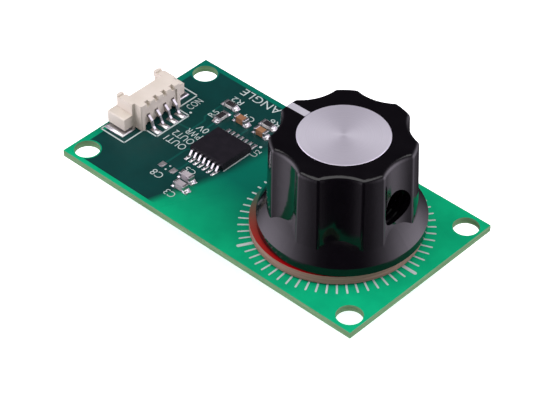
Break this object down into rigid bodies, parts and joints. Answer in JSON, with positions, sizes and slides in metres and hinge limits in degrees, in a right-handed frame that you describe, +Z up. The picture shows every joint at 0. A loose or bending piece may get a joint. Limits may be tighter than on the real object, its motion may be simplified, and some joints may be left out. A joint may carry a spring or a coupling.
{
  "type": "rotary encoder",
  "caption": "Rotary encoder on a rectangular circuit board: a fluted, skirted pointer knob turns a disc over the board, with chips and a side-entry connector beside it.",
  "frame": {"origin": "centre of the four board holes, on the board's underside", "axes": "+Z up, out of the board towards the knob; +X along the board from the connector to the knob; the connector's mouth faces -X"},
  "size_m": [0.0414, 0.022, 0.0184],
  "materials": {
    "board": "glass-epoxy laminate under a glossy green solder mask",
    "brass": "turned, satin",
    "solder": "tinned, bright and slightly uneven",
    "white_plastic": "natural acetal, satin",
    "moulding_compound": "black epoxy, fine grain",
    "tin_plate": "matt tin plate",
    "grey_ceramic": "fired ceramic, satin",
    "brown_ceramic": "fired ceramic, satin",
    "white_ceramic": "alumina, matt",
    "black_film": "glazed",
    "ivory_plastic": "natural nylon, satin",
    "steel": "ground",
    "spring_steel": "oil-blackened spring steel",
    "hub_plastic": "moulded, satin",
    "red_board": "glass-epoxy laminate under a glossy red solder mask",
    "copper": "copper foil, tarnish-free",
    "black_plastic": "phenolic, polished sides and a satin top",
    "spun_aluminium": "faced in a lathe, with a bright cut rim",
    "white_paint": "opaque filling paint",
    "black_steel": "black oxide"
  },
  "bodies": {
    "board_assembly": {"main_board": "board", "bearing_bushing": "brass", "bushing_solder": "solder", "upper_thrust_washer": "white_plastic", "lower_thrust_washer": "white_plastic", "chip_body": "moulding_compound", "chip_leads": "tin_plate", "grey_capacitor_bodies": "grey_ceramic", "brown_capacitor_bodies": "brown_ceramic", "capacitor_terminals": "tin_plate", "resistor_bodies": "white_ceramic", "resistor_films": "black_film", "resistor_terminals": "tin_plate", "solder_pads": "solder", "connector_housing": "ivory_plastic", "connector_contacts": "tin_plate", "solder_nails": "tin_plate"},
    "rotor": {"shaft": "steel", "retaining_clip": "spring_steel", "rotor_hub": "hub_plastic", "rotor_disc": "red_board", "rotor_target": "copper", "knob_body": "black_plastic", "knob_insert": "brass", "knob_inlay": "spun_aluminium", "pointer_line": "white_paint", "set_screw": "black_steel"}
  },
  "joints": [
    {"name": "knob_turn", "type": "hinge", "parent": "board_assembly", "child": "rotor", "pos_m": [0.0091, 0, 0], "axis": [0, 0, 1], "continuous": true}
  ]
}
